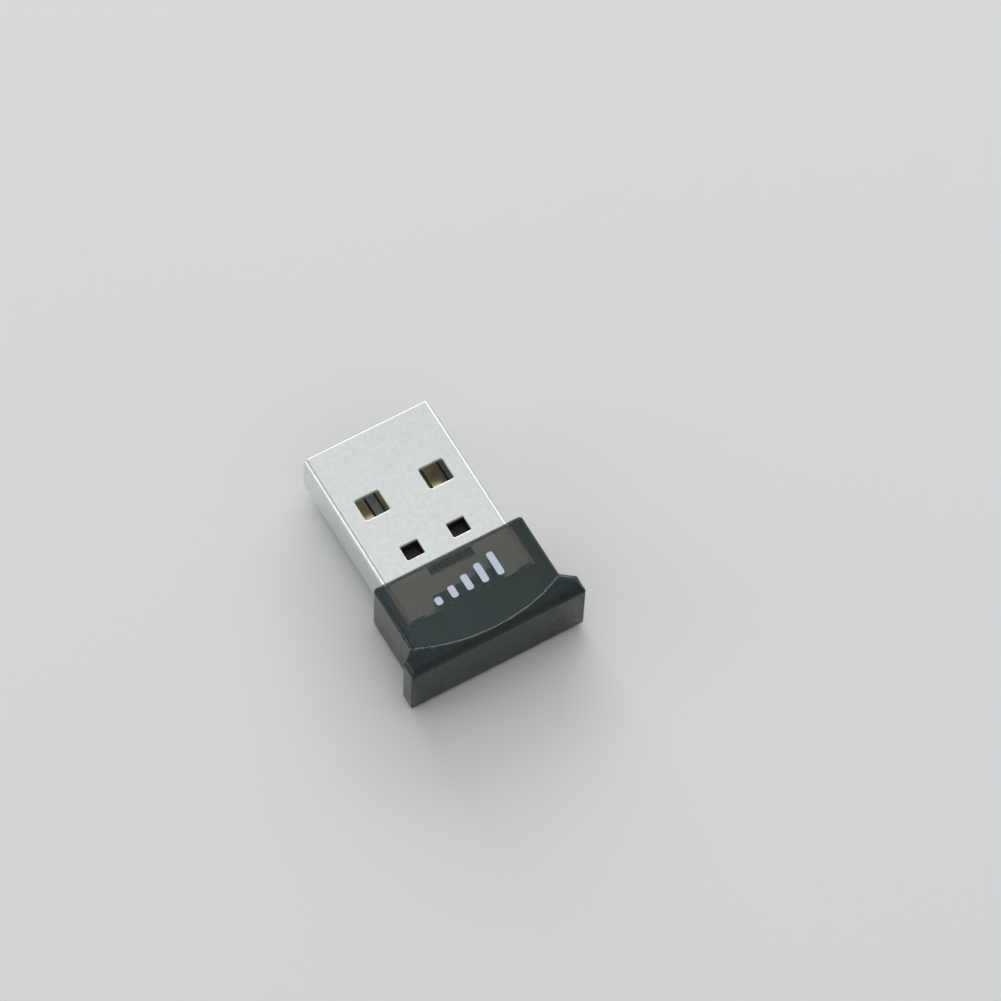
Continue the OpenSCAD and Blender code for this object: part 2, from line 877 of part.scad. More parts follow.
plug_shell();
contact_carrier();
supply_contact();
data_minus_contact();
data_plus_contact();
ground_contact();
cap();
circuit_board();
contact_lands();
antenna_line();
radio_chip();
radio_lands();
crystal_base();
crystal_lid();
memory_chip();
memory_legs();
regulator_chip();
regulator_legs();
lamp_base();
lamp_top();
choke_body();
choke_ends();
capacitor_bodies();
capacitor_ends();
resistor_bodies();
resistor_ends();
tail_solder();
shell_solder();
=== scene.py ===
# %% [markdown]
# # A short-range radio adapter
# A folded metal plug runs into a clear smoke-grey cap, and a small circuit board sits inside
# both. The exact solids come from CAD and aren't changed here. The two big outer pieces are
# modelled again with soft edges, because light on an edge is most of what makes a part look real,
# and every other piece keeps its CAD mesh and gets a material.

# %% Load the CAD frame
import math

import bmesh
import bpy
from mathutils import Matrix, Vector


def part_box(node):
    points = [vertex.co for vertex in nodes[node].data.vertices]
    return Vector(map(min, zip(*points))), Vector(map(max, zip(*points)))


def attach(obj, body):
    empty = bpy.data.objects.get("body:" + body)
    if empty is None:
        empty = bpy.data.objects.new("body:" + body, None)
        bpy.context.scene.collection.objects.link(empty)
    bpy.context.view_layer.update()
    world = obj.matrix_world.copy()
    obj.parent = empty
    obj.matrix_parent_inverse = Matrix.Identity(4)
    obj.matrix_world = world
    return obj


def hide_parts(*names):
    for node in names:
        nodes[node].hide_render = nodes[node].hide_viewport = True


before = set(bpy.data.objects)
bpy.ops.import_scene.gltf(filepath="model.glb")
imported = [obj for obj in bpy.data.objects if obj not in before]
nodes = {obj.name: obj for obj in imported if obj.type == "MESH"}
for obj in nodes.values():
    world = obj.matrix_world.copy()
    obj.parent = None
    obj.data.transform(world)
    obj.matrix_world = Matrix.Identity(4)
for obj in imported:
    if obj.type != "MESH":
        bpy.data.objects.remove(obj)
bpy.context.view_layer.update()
print("pieces from CAD:", len(nodes))

# %% [markdown]
# Everything on the real part is measured back from the plug's mouth and up from the plug's
# middle, so that is how the sizes are written here too, in millimetres. One small function turns
# such a place into Blender's metres.

# %% Sizes of the part, in millimetres
MM = 0.001
PLUG_W, PLUG_H, PLUG_REACH, PLUG_LEN = 12.0, 4.5, 13.6, 17.8
SHEET = 0.3
FOLD_R = 0.5
TOTAL_LEN = 22.3
BODY_W, BODY_H = 14.1, 6.1
GRIP_W, GRIP_H = 16.5, 6.46
EAR_AT = TOTAL_LEN - 2.5
FLARE_LEN = 0.9
ARC_DEPTH = 1.6


def place(x, depth, height):
    """A point in the frame, from millimetres across, behind the mouth and over the middle."""
    return Vector((x, TOTAL_LEN / 2 - depth, GRIP_H / 2 + height)) * MM


low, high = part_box("plug_shell")
print("plug in CAD, mm:", [round((b - a) / MM, 2) for a, b in zip(low, high)])

# %% [markdown]
# The camera stands where the photographer stood: half a metre away, high over the part's left
# rear corner. A long lens keeps the lines nearly parallel, as on the photograph. The camera's
# turn is built from three directions (right, up and back), because those are easy to check by
# eye.

# %% Camera
AZIMUTH, ELEVATION, ROLL = (math.radians(v) for v in (-32.62, 61.82, 2.90))
CAMERA_DISTANCE = 500.0
PIXELS_PER_MM = 11.952
PICTURE = 1001
MOUTH_IN_PICTURE = (365.8, 442.6)
SENSOR = 36.0

back = Vector((
    math.sin(AZIMUTH) * math.cos(ELEVATION),
    -math.cos(AZIMUTH) * math.cos(ELEVATION),
    math.sin(ELEVATION),
))
level = Vector((math.cos(AZIMUTH), math.sin(AZIMUTH), 0))
upright = back.cross(level)
right = math.cos(ROLL) * level + math.sin(ROLL) * upright
up = math.cos(ROLL) * upright - math.sin(ROLL) * level
across = (MOUTH_IN_PICTURE[0] - PICTURE / 2) / PIXELS_PER_MM
over = (PICTURE / 2 - MOUTH_IN_PICTURE[1]) / PIXELS_PER_MM
eye = place(0, 0, 0) + (CAMERA_DISTANCE * back - across * right - over * up) * MM

bpy.ops.object.camera_add(location=eye)
camera = bpy.context.object
camera.name = "camera"
camera.matrix_world = Matrix.Translation(eye) @ Matrix((right, up, back)).transposed().to_4x4()
camera.data.sensor_fit = "HORIZONTAL"
camera.data.sensor_width = SENSOR
camera.data.lens = PIXELS_PER_MM * CAMERA_DISTANCE / PICTURE * SENSOR
camera.data.clip_start = 0.01
camera.data.clip_end = 20
bpy.context.scene.camera = camera
print("lens, mm:", round(camera.data.lens, 1))

# %% [markdown]
# A modelling operator acts on all that is selected, so each step first selects exactly what it
# needs. `alone` picks one object, and `choose` picks faces or edges of it in edit mode, by a test
# on each one's place or direction.

# %% Helpers for choosing
def alone(piece):
    """Makes one object the only selected and the active one."""
    bpy.ops.object.select_all(action="DESELECT")
    piece.select_set(True)
    bpy.context.view_layer.objects.active = piece


def choose(piece, kind, test):
    """Selects, in edit mode, the faces or edges that pass the test, and gives their number."""
    alone(piece)
    bpy.ops.object.mode_set(mode="EDIT")
    bpy.ops.mesh.select_mode(type=kind)
    bpy.ops.mesh.select_all(action="DESELECT")
    shape = bmesh.from_edit_mesh(piece.data)
    chosen = [item for item in (shape.faces if kind == "FACE" else shape.edges) if test(item)]
    for item in chosen:
        item.select_set(True)
    bmesh.update_edit_mesh(piece.data)
    return len(chosen)


def done_editing():
    bpy.ops.object.mode_set(mode="OBJECT")


print("selected after loading:", len(bpy.context.selected_objects))

# %% [markdown]
# Each form starts as a box at its size and place, given by its depths behind the mouth and its
# heights. `round_edges` then bevels those of its edges that pass a test, and the commonest test
# is the way that an edge runs. A moulded or folded part has no truly sharp edge, so few boxes
# stay so.

# %% Helpers for boxes and rounded edges
def box(name, width, front, rear, low_at, high_at, x=0.0):
    """A box from one depth behind the mouth to another, between two heights."""
    bpy.ops.object.select_all(action="DESELECT")
    size = Vector((width, rear - front, high_at - low_at)) * MM
    bpy.ops.mesh.primitive_cube_add(
        size=1, scale=size, location=place(x, (front + rear) / 2, (low_at + high_at) / 2))
    bpy.ops.object.transform_apply(location=True, rotation=True, scale=True)
    piece = bpy.context.object
    piece.name = name
    return piece


def round_edges(piece, test, radius, steps):
    """Rounds the edges that pass the test, and gives their number."""
    count = choose(piece, "EDGE", test)
    bpy.ops.mesh.bevel(offset=radius * MM, offset_type="OFFSET", segments=steps, profile=0.5)
    done_editing()
    return count


def along(edge, axis):
    """True if an edge runs along one axis."""
    run = edge.verts[0].co - edge.verts[1].co
    return abs(run[axis]) > 0.999 * run.length


# %% [markdown]
# ## The folded plug
# The real plug is one strip of plated steel, folded into a flat tube whose edges meet in a seam
# under it. A box whose two ends are deleted and whose long edges are rounded gives the outside of
# the folds, and a Solidify modifier then gives that skin the thickness of the sheet, so the
# inside of each fold has the right smaller radius by itself.

# %% Folded tube of the plug
tube = box("metal_plug", PLUG_W, 0, PLUG_LEN, -PLUG_H / 2, PLUG_H / 2)
choose(tube, "FACE", lambda face: abs(face.normal.y) > 0.9)
bpy.ops.mesh.delete(type="ONLY_FACE")
done_editing()
print("folds:", round_edges(tube, lambda edge: along(edge, 1), FOLD_R, 8))
sheet = tube.modifiers.new("sheet", "SOLIDIFY")
sheet.thickness = SHEET * MM
sheet.offset = -1
sheet.use_even_offset = True
alone(tube)
bpy.ops.object.modifier_apply(modifier=sheet.name)

# %% [markdown]
# The mouth's rim is rounded on its outer side, so that it finds its way into a port. It is the
# brightest line on the part. Its edges are found by their place: on the mouth's plane, and nearer
# to the outer skin of the sheet than to the inner one.

# %% Rounded mouth
MOUTH_R = 0.12
NEAR = 1e-6  # metres
axis_height = place(0, 0, 0).z


def mouth_rim(edge):
    """True for the edges round the mouth, on the outer side of the sheet."""
    return all(
        abs(v.co.y - place(0, 0, 0).y) < NEAR
        and (abs(v.co.x) > (PLUG_W / 2 - SHEET / 2) * MM
             or abs(v.co.z - axis_height) > (PLUG_H / 2 - SHEET / 2) * MM)
        for v in edge.verts)


print("mouth edges:", round_edges(tube, mouth_rim, MOUTH_R, 3))

# %% [markdown]
# The windows are punched, so their corners follow the punch's own small radius. Each punch is a
# box with its four upright edges rounded, pushed through the sheet and cut away with a Boolean
# modifier. The two large windows go through both broad faces. The small ones, and the slot that
# the cap snaps into, go only through the top. The tail, which the cap hides, has cut corners and
# a wide notch.

# %% Punched windows, slot and tail
CLEAR = 0.5
LATCH = {"width": 2.3, "length": 2.1, "depth": 5.4, "x": 3.05, "corner": 0.2}
CATCH = {"width": 1.65, "length": 1.4, "depth": 11.0, "x": 2.2, "corner": 0.1}
SLOT = {"width": 4.2, "length": 0.9, "depth": 13.85, "x": 0.0, "corner": 0.1}
CUT_W, CUT_LEN = 1.6, 0.25
NOTCH_W, NOTCH_LEN = 6.0, 1.4


def combine(piece, tool, how, self_crossing=False):
    """Cuts the tool from the piece, joins them, or keeps what they share. The tool is used up."""
    alone(piece)
    step = piece.modifiers.new("combine", "BOOLEAN")
    step.operation = how
    step.solver = "EXACT"
    step.use_self = self_crossing
    step.object = tool
    bpy.ops.object.modifier_apply(modifier=step.name)
    bpy.data.objects.remove(tool)


def punch(opening, side, through):
    """Cuts one opening with round corners through the top sheet, or through both."""
    low_at = -PLUG_H if through else PLUG_H / 2 - SHEET - CLEAR
    tool = box("punch", opening["width"], opening["depth"], opening["depth"] + opening["length"],
               low_at, PLUG_H, side * opening["x"])
    round_edges(tool, lambda edge: along(edge, 2), opening["corner"], 5)
    combine(tube, tool, "DIFFERENCE")


for side in (-1, 1):
    punch(LATCH, side, True)
    punch(CATCH, side, False)
    corner = box("corner", 2 * CUT_W, PLUG_LEN - CUT_LEN, PLUG_LEN + CLEAR, -PLUG_H, PLUG_H,
                 side * PLUG_W / 2)
    combine(tube, corner, "DIFFERENCE")
punch(SLOT, 1, False)
notch = box("notch", NOTCH_W, PLUG_LEN - NOTCH_LEN, PLUG_LEN + CLEAR, -PLUG_H, PLUG_H)
combine(tube, notch, "DIFFERENCE")
print("faces after punching:", len(tube.data.polygons))

# %% [markdown]
# A punch drags the sheet's surface in with it. The rim of each window is rolled over, and that
# roll catches the light as a thin white line, so it is real geometry here: the edges round the
# openings, on the outer side of the sheet, are rounded.

# %% Rolled rims
ROLL_R = 0.11
MOUTH_ZONE = 0.1


def middle(edge):
    return (edge.verts[0].co + edge.verts[1].co) / 2


def punched_rim(edge):
    """True for edges round the windows, on the outer side of the sheet."""
    at = middle(edge)
    depth = TOTAL_LEN / 2 - at.y / MM
    outside = abs(abs(at.z - axis_height) - PLUG_H / 2 * MM) < NEAR
    inward = abs(at.x) < (PLUG_W / 2 - FOLD_R - 0.1) * MM and MOUTH_ZONE < depth < PLUG_REACH
    return outside and inward and edge.calc_face_angle(0) > 1


print("window rims:", round_edges(tube, punched_rim, ROLL_R, 3))

# %% [markdown]
# Under the plug the two edges of the strip meet. Two dovetails, one to each side, lock them. The
# seam is a narrow zigzag: one thin box for each straight run, all of them cut away together.

# %% Seam with its two dovetails
SEAM = 0.06
REACH, SPREAD = 1.1, 0.25
LOCKS = ((2.6, 4.2, 1), (8.4, 10.0, -1))

path = [(0, -CLEAR)]
for first, last, side in LOCKS:
    path += [(0, first), (side * REACH, first - SPREAD), (side * REACH, last + SPREAD), (0, last)]
path.append((0, PLUG_LEN + CLEAR))
runs = []
for (x0, d0), (x1, d1) in zip(path, path[1:]):
    start, end = place(x0, d0, -PLUG_H / 2), place(x1, d1, -PLUG_H / 2)
    bpy.ops.object.select_all(action="DESELECT")
    bpy.ops.mesh.primitive_cube_add(
        size=1, location=(start + end) / 2,
        rotation=(0, 0, math.atan2(end.y - start.y, end.x - start.x)),
        scale=((end - start).length + SEAM * MM, SEAM * MM, (SHEET + CLEAR) * MM))
    bpy.ops.object.transform_apply(location=True, rotation=True, scale=True)
    runs.append(bpy.context.object)
for run in runs:
    run.select_set(True)
bpy.context.view_layer.objects.active = runs[0]
bpy.ops.object.join()
combine(tube, runs[0], "DIFFERENCE", self_crossing=True)
print("runs in the seam:", len(runs))

# %% [markdown]
# Now every edge that is still sharp gets a very small radius with a Bevel modifier, limited by
# angle. Big faces would then look bent, because smooth shading spreads each edge's turn over the
# faces beside it. A Weighted Normal modifier lets the big faces win, so they stay flat.

# %% Soft edges of the plug
PLUG_SOFT = 0.045


def smooth(piece):
    """Smooth shading that keeps the flat faces flat."""
    alone(piece)
    bpy.ops.object.shade_smooth_by_angle(angle=math.radians(30), keep_sharp_edges=False)
    step = piece.modifiers.new("flat faces", "WEIGHTED_NORMAL")
    step.keep_sharp = True
    bpy.ops.object.modifier_apply(modifier=step.name)
    print(piece.name, "faces:", len(piece.data.polygons))


def soften(piece, radius, steps, angle):
    """Gives every sharp edge a small radius."""
    alone(piece)
    step = piece.modifiers.new("soft edges", "BEVEL")
    step.width = radius * MM
    step.segments = steps
    step.limit_method = "ANGLE"
    step.angle_limit = math.radians(angle)
    step.use_clamp_overlap = True
    bpy.ops.object.modifier_apply(modifier=step.name)
    smooth(piece)


soften(tube, PLUG_SOFT, 2, 40)

# %% [markdown]
# A punch shears the metal, and a sheared wall is torn and dull beside the plated face. The walls
# of the openings and the sheet's two ends are marked here, with a number on each face that the
# material can read, so that it can be rougher there.

# %% Sheared walls
def mark(piece, name, test):
    """Writes 1 on the faces that pass the test and 0 on the others."""
    values = piece.data.attributes.new(name, "FLOAT", "FACE")
    for face in piece.data.polygons:
        values.data[face.index].value = float(test(face))
    print(name, "faces:", sum(int(item.value) for item in values.data))


def sheared(face):
    """True on walls that stand upright inside the openings, and on the sheet's ends."""
    inside = abs(face.center.x) < (PLUG_W / 2 - SHEET - 0.02) * MM
    return abs(face.normal.z) < 0.5 and inside


mark(tube, "sheared", sheared)

# %% [markdown]
# ## The moulded cap
# The cap is one moulding: a plain rounded body, and behind it a grip that is a little higher and
# wider. Each form is a box with its own edge radii, so the two are made apart and then joined.
# The body runs on into the grip, because two solids that only touch don't join well.

# %% Body of the cap
BODY_EDGE, FRONT_EDGE = 0.4, 0.3
BODY_STOP = TOTAL_LEN - 0.45
body = box("clear_cap", BODY_W, PLUG_REACH, BODY_STOP, -BODY_H / 2, BODY_H / 2)
round_edges(body, lambda edge: along(edge, 1), BODY_EDGE, 6)
front_y = place(0, PLUG_REACH, 0).y
print("front edges:", round_edges(
    body, lambda edge: all(abs(v.co.y - front_y) < NEAR for v in edge.verts), FRONT_EDGE, 5))

# %% [markdown]
# The grip's two ears start with slanting cuts, which a bisect through the bar makes. The grip's
# rim has a large radius and its upright corners a small one. Rounding both on one box would make
# faces cross, so two bars are rounded apart, one for each radius, and only what they share is
# kept.

# %% Grip of the cap
GRIP_EDGE, EAR_CORNER = 0.6, 0.28
EAR_OUT = (GRIP_W - BODY_W) / 2
ear_y = place(0, EAR_AT, 0).y


def flared(name, low_at, high_at):
    """A bar as wide as the grip, with both front corners cut slantwise."""
    bar = box(name, GRIP_W, EAR_AT, TOTAL_LEN, low_at, high_at)
    for side in (-1, 1):
        alone(bar)
        bpy.ops.object.mode_set(mode="EDIT")
        bpy.ops.mesh.select_all(action="SELECT")
        bpy.ops.mesh.bisect(
            plane_co=place(side * BODY_W / 2, EAR_AT, 0),
            plane_no=Vector((side * FLARE_LEN, EAR_OUT, 0)).normalized(),
            use_fill=True, clear_outer=True)
        done_editing()
    return bar


def behind_front(edge):
    """True for all edges but those of the front face, which the arc cuts off."""
    return middle(edge).y < ear_y - 0.1 * MM


grip = flared("grip", -GRIP_H / 2, GRIP_H / 2)
plan = flared("plan", -GRIP_H, GRIP_H)
print("rim edges:", round_edges(
    grip, lambda edge: not along(edge, 2) and behind_front(edge), GRIP_EDGE, 6))
print("ear corners:", round_edges(
    plan, lambda edge: along(edge, 2) and behind_front(edge), EAR_CORNER, 5))
combine(grip, plan, "INTERSECT")

# %% [markdown]
# The grip's front edge is a shallow arc, like the press of a thumb. The arc is the inner wall of
# a wide ring whose rim is rounded before it is used, so keeping only what grip and ring share
# gives the arc and its bright round edge in one step.

# %% Arc in the grip's front
ARC_EDGE = 0.36
RING_SIDES, RING_GROWTH = 360, 2
arc_r = ((BODY_W / 2) ** 2 + ARC_DEPTH ** 2) / (2 * ARC_DEPTH)
arc_centre = EAR_AT + ARC_DEPTH - arc_r
hub = place(0, arc_centre, 0)
bpy.ops.object.select_all(action="DESELECT")
bpy.ops.mesh.primitive_circle_add(vertices=RING_SIDES, radius=arc_r * MM, fill_type="NOTHING",
                                  location=place(0, arc_centre, -GRIP_H / 2))
ring = bpy.context.object
bpy.ops.object.transform_apply(location=True, rotation=True, scale=True)
bpy.ops.object.mode_set(mode="EDIT")
bpy.ops.mesh.select_all(action="SELECT")
bpy.ops.mesh.extrude_edges_move()
bpy.ops.transform.resize(value=(RING_GROWTH, RING_GROWTH, 1), center_override=hub)
bpy.ops.mesh.select_all(action="SELECT")
bpy.ops.mesh.extrude_region_move(TRANSFORM_OT_translate={"value": (0, 0, GRIP_H * MM)})
bpy.ops.mesh.select_all(action="SELECT")
bpy.ops.mesh.normals_make_consistent(inside=False)
done_editing()


def inner_rim(edge):
    level_edge = abs(edge.verts[0].co.z - edge.verts[1].co.z) < NEAR / 10
    return level_edge and all((v.co.xy - hub.xy).length < (arc_r + 0.1) * MM for v in edge.verts)


print("rim of the ring:", round_edges(ring, inner_rim, ARC_EDGE, 6))
combine(grip, ring, "INTERSECT")
combine(body, grip, "UNION")

# %% [markdown]
# The cap is hollow. The plug's tail fills the front of the hollow, two pairs of rails hold the
# board behind it, and a bar under the roof snaps into the plug's slot. All of that shows dimly
# through the smoky plastic, so it is modelled and not left out. Faces that lie in one plane
# confuse a cut, so the rails start a hair behind the shoulder and bite into the walls.

# %% Hollow, rails and catch of the cap
FIT = 0.05
WALL_BACK = 0.9
HOLLOW_R = 0.3
STOP_AT = PLUG_LEN + FIT
HOLLOW_BACK = TOTAL_LEN - WALL_BACK
HOLLOW_W = PLUG_W - 2 * SHEET - 0.2
HOLLOW_H = PLUG_H - 2 * SHEET
RAIL_W, RAIL_H, RAIL_BACK, BITE = 0.6, 0.5, 0.02, 0.2
CATCH_FIT, CATCH_H = 0.12, 0.25

pocket = box("pocket", PLUG_W + 2 * FIT, PLUG_REACH - CLEAR, STOP_AT,
             -PLUG_H / 2 - FIT, PLUG_H / 2 + FIT)
round_edges(pocket, lambda edge: along(edge, 1), FOLD_R + FIT, 6)
combine(body, pocket, "DIFFERENCE")
hollow = box("hollow", HOLLOW_W, STOP_AT - CLEAR, HOLLOW_BACK, -HOLLOW_H / 2, HOLLOW_H / 2)
round_edges(hollow, lambda edge: along(edge, 1), HOLLOW_R, 5)
combine(body, hollow, "DIFFERENCE")

board_low, board_high = (v.z / MM - GRIP_H / 2 for v in map(Vector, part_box("circuit_board")))
for side in (-1, 1):
    for low_at, high_at in ((board_high + FIT, board_high + FIT + RAIL_H),
                            (board_low - FIT - RAIL_H, board_low - FIT)):
        rail = box("rail", RAIL_W + BITE, STOP_AT + RAIL_BACK, HOLLOW_BACK + BITE,
                   low_at, high_at, side * (HOLLOW_W - RAIL_W + BITE) / 2)
        combine(body, rail, "UNION")
catch = box("catch", SLOT["width"] - 2 * CATCH_FIT, SLOT["depth"] + CATCH_FIT,
            SLOT["depth"] + SLOT["length"] - CATCH_FIT,
            PLUG_H / 2 + FIT - CATCH_H, PLUG_H / 2 + FIT + BITE)
combine(body, catch, "UNION")
print("board between heights:", round(board_low, 2), round(board_high, 2))

# %% [markdown]
# Cuts leave slivers and doubled points behind. Clear plastic shows them as false creases, because
# light bends at each one, so they are welded away. The count of open edges has to be 0: light
# that goes in through a closed skin must also come out through it.

# %% Closed skin of the cap
WELD = 0.003
choose(body, "FACE", lambda face: True)
bpy.ops.mesh.remove_doubles(threshold=WELD * MM)
bpy.ops.mesh.dissolve_degenerate(threshold=WELD * MM)
done_editing()
shape = bmesh.new()
shape.from_mesh(body.data)
print("open edges:", sum(not edge.is_manifold for edge in shape.edges))
shape.free()
smooth(body)

# %% [markdown]
# A mould is polished where the part has to shine, and left rougher where it doesn't show. The cap
# is clear, so this shapes its look: the frosted walls of the hollow blur the board behind them,
# and a fine grain on the grip gives a thumb some hold. Both are marked on the faces, as on the
# plug. The same marks also carry painted shade: the hollow's walls get a darker teal colour, and
# the grip's flat top and bottom a darker grey.

# %% Finishes and painted shade on the cap's faces
SKIN = 0.05


def in_hollow(face):
    """True on the walls of the hollow behind the plug."""
    return (face.center.y < place(0, STOP_AT - SKIN, 0).y
            and face.center.y > place(0, HOLLOW_BACK + SKIN, 0).y
            and abs(face.center.x) < (HOLLOW_W / 2 + SKIN) * MM
            and abs(face.center.z - axis_height) < (HOLLOW_H / 2 + SKIN) * MM)


def on_grip(face):
    """True on the flat top and bottom of the grip."""
    return abs(face.center.z - axis_height) > (GRIP_H / 2 - 0.02) * MM


mark(body, "frosted_and_shaded", in_hollow)
mark(body, "grained_and_shaded", on_grip)

# %% [markdown]
# ## The printed mark
# White ink is pad-printed on the cap's top. A plain picture of a signal, five bars that rise from
# left to right, stands there. Ink is a real layer, a few hundredths of a millimetre thick, so
# each bar is a thin body with round corners that stands just proud of the plastic.

# %% Bars of printed ink
INK, INK_SOFT = 0.02, 0.005
MARK_NEAR, MARK_W, MARK_H = 4.05, 6.4, 2.3
BARS, BAR_W, BAR_R = 5, 0.62, 0.22
near = PLUG_REACH + MARK_NEAR
bars = []
for i in range(BARS):
    tall = MARK_H * (i + 2) / (BARS + 1)
    x = (i / (BARS - 1) - 0.5) * (MARK_W - BAR_W)
    bar = box("bar", BAR_W, near - tall, near, BODY_H / 2 - INK / 2, BODY_H / 2 + INK, x)
    round_edges(bar, lambda edge: along(edge, 2), BAR_R, 5)
    bars.append(bar)
for bar in bars:
    bar.select_set(True)
bpy.context.view_layer.objects.active = bars[0]
bpy.ops.object.join()
ink = bars[0]
ink.name = "printed_bars"
soften(ink, INK_SOFT, 1, 45)

# %% [markdown]
# ## Materials
# Each material starts the same way: one main shader, a noise that varies its colour and roughness
# a little, and a finer noise that roughens the surface through a Bump node. All of them read
# Object coordinates, so the grain has the same real size on every piece. Numbers that don't vary
# sit on the shader itself.

# %% One way to start a material
BUMP_STRENGTH = 0.6


def mottled(name, colour, second, blotch, rough, metallic=0.0, grain=0.0, grain_size=0.1,
            rough_spread=0.05, stretch=(1, 1, 1), **more):
    """A surface with soft blotches between two colours and a fine grain. Sizes are in mm."""
    material = bpy.data.materials.new(name)
    material.use_nodes = True
    tree = material.node_tree
    shader = tree.nodes["Principled BSDF"]
    shader.inputs["Metallic"].default_value = metallic
    for socket, value in more.items():
        shader.inputs[socket.replace("_", " ")].default_value = value
    where = tree.nodes.new("ShaderNodeTexCoord")
    turn = tree.nodes.new("ShaderNodeMapping")
    turn.inputs["Scale"].default_value = stretch
    tree.links.new(where.outputs["Object"], turn.inputs["Vector"])

    def noise(size, detail):
        made = tree.nodes.new("ShaderNodeTexNoise")
        made.inputs["Scale"].default_value = 1 / (size * MM)
        made.inputs["Detail"].default_value = detail
        tree.links.new(turn.outputs["Vector"], made.inputs["Vector"])
        return made

    blotches = noise(blotch, 3)
    blend = tree.nodes.new("ShaderNodeMix")
    blend.data_type = "RGBA"
    blend.inputs["A"].default_value = (*colour, 1)
    blend.inputs["B"].default_value = (*second, 1)
    tree.links.new(blotches.outputs["Fac"], blend.inputs["Factor"])
    tree.links.new(blend.outputs["Result"], shader.inputs["Base Color"])
    spread = tree.nodes.new("ShaderNodeMapRange")
    spread.inputs["To Min"].default_value = rough - rough_spread
    spread.inputs["To Max"].default_value = rough + rough_spread
    tree.links.new(blotches.outputs["Fac"], spread.inputs["Value"])
    tree.links.new(spread.outputs["Result"], shader.inputs["Roughness"])
    if grain:
        bump = tree.nodes.new("ShaderNodeBump")
        bump.inputs["Strength"].default_value = BUMP_STRENGTH
        bump.inputs["Distance"].default_value = grain * MM
        tree.links.new(noise(grain_size, 2).outputs["Fac"], bump.inputs["Height"])
        tree.links.new(bump.outputs["Normal"], shader.inputs["Normal"])
    return material


# %% [markdown]
# One piece can carry several finishes, and painted shade too. An Attribute node reads the number
# that was marked on each face, and the three helpers here use it: one raises the roughness where
# the number is 1, one paints shade there by changing the colour, and one adds a second, finer
# grain. Each puts its node between the shader's socket and what fed it before.

# %% Finishes and painted shade that are marked on the faces
def marked(tree, finish):
    """The number of a finish, as it is written on the faces."""
    reader = tree.nodes.new("ShaderNodeAttribute")
    reader.attribute_name = finish
    return reader.outputs["Fac"]


def roughen(material, finish, more):
    """Raises the roughness where a finish is marked."""
    tree = material.node_tree
    rough = tree.nodes["Principled BSDF"].inputs["Roughness"]
    rougher = tree.nodes.new("ShaderNodeMath")
    rougher.operation = "MULTIPLY_ADD"
    rougher.inputs[1].default_value = more
    tree.links.new(marked(tree, finish), rougher.inputs[0])
    tree.links.new(rough.links[0].from_socket, rougher.inputs[2])
    tree.links.new(rougher.outputs["Value"], rough)


def paint_shade(material, finish, colour):
    """Paints shade by changing the colour where a mark is written."""
    tree = material.node_tree
    base = tree.nodes["Principled BSDF"].inputs["Base Color"]
    other = tree.nodes.new("ShaderNodeMix")
    other.data_type = "RGBA"
    other.inputs["B"].default_value = (*colour, 1)
    tree.links.new(marked(tree, finish), other.inputs["Factor"])
    tree.links.new(base.links[0].from_socket, other.inputs["A"])
    tree.links.new(other.outputs["Result"], base)


def speckle(material, finish, depth, size):
    """Adds a second, finer grain where a finish is marked."""
    tree = material.node_tree
    normal = tree.nodes["Principled BSDF"].inputs["Normal"]
    where = tree.nodes.new("ShaderNodeTexCoord")
    dots = tree.nodes.new("ShaderNodeTexNoise")
    dots.inputs["Scale"].default_value = 1 / (size * MM)
    raised = tree.nodes.new("ShaderNodeMath")
    raised.operation = "MULTIPLY"
    bump = tree.nodes.new("ShaderNodeBump")
    bump.inputs["Distance"].default_value = depth * MM
    tree.links.new(where.outputs["Object"], dots.inputs["Vector"])
    tree.links.new(dots.outputs["Fac"], raised.inputs[0])
    tree.links.new(marked(tree, finish), raised.inputs[1])
    tree.links.new(raised.outputs["Value"], bump.inputs["Height"])
    tree.links.new(normal.links[0].from_socket, bump.inputs["Normal"])
    tree.links.new(bump.outputs["Normal"], normal)


# %% [markdown]
# The plug's steel is plated with satin nickel: nearly white, with a slight cool tone, and a
# surface that blurs what it reflects. The rolling of the sheet leaves a grain that is longer
# along the plug than across it, so the noise is stretched that way. The sheared walls are much
# rougher.

# %% Nickel
nickel = mottled("nickel_plate", (0.87, 0.915, 0.88), (0.66, 0.705, 0.675), 0.30, 0.34,
                 metallic=1.0, grain=0.012, grain_size=0.12, stretch=(1, 0.6, 1))
roughen(nickel, "sheared", 0.5)
print("nodes in the nickel:", len(nickel.node_tree.nodes))

# %% [markdown]
# Smoky plastic is clear plastic with a little dye. Light bends as it enters, loses colour with
# every millimetre that it travels, and a trace of it scatters back, so thick places look nearly
# black and bright metal still shows through a thin roof. One main shader with transmission does
# the bending and the scatter, and a Volume Absorption shader does the loss by depth. A piece with
# a volume has one material only, so the finishes on its faces come from their marks.

# %% Smoky plastic
smoke = mottled("smoky_plastic", (0.88, 0.94, 0.94), (0.92, 0.96, 0.96), 3.0, 0.12,
                grain=0.002, grain_size=0.35, rough_spread=0.02, IOR=1.45, Specular_IOR_Level=0.5,
                Specular_Tint=(0.75, 1.0, 1.0, 1), Transmission_Weight=0.985)
tree = smoke.node_tree
dye = tree.nodes.new("ShaderNodeVolumeAbsorption")
dye.inputs["Color"].default_value = (0.605, 0.55, 0.492, 1)
dye.inputs["Density"].default_value = 3000
tree.links.new(dye.outputs["Volume"], tree.nodes["Material Output"].inputs["Volume"])
roughen(smoke, "frosted_and_shaded", 0.6)
roughen(smoke, "grained_and_shaded", 0.14)
# Painted shade: the hollow's walls get a darker teal colour, so less light shows through them.
paint_shade(smoke, "frosted_and_shaded", (0.05, 0.60, 0.55))
# Painted shade: the grip's flat top and bottom get a darker grey colour; their roughness and
# speckle are real grain.
paint_shade(smoke, "grained_and_shaded", (0.30, 0.32, 0.30))
speckle(smoke, "grained_and_shaded", 0.035, 0.11)
print("nodes in the plastic:", len(tree.nodes))
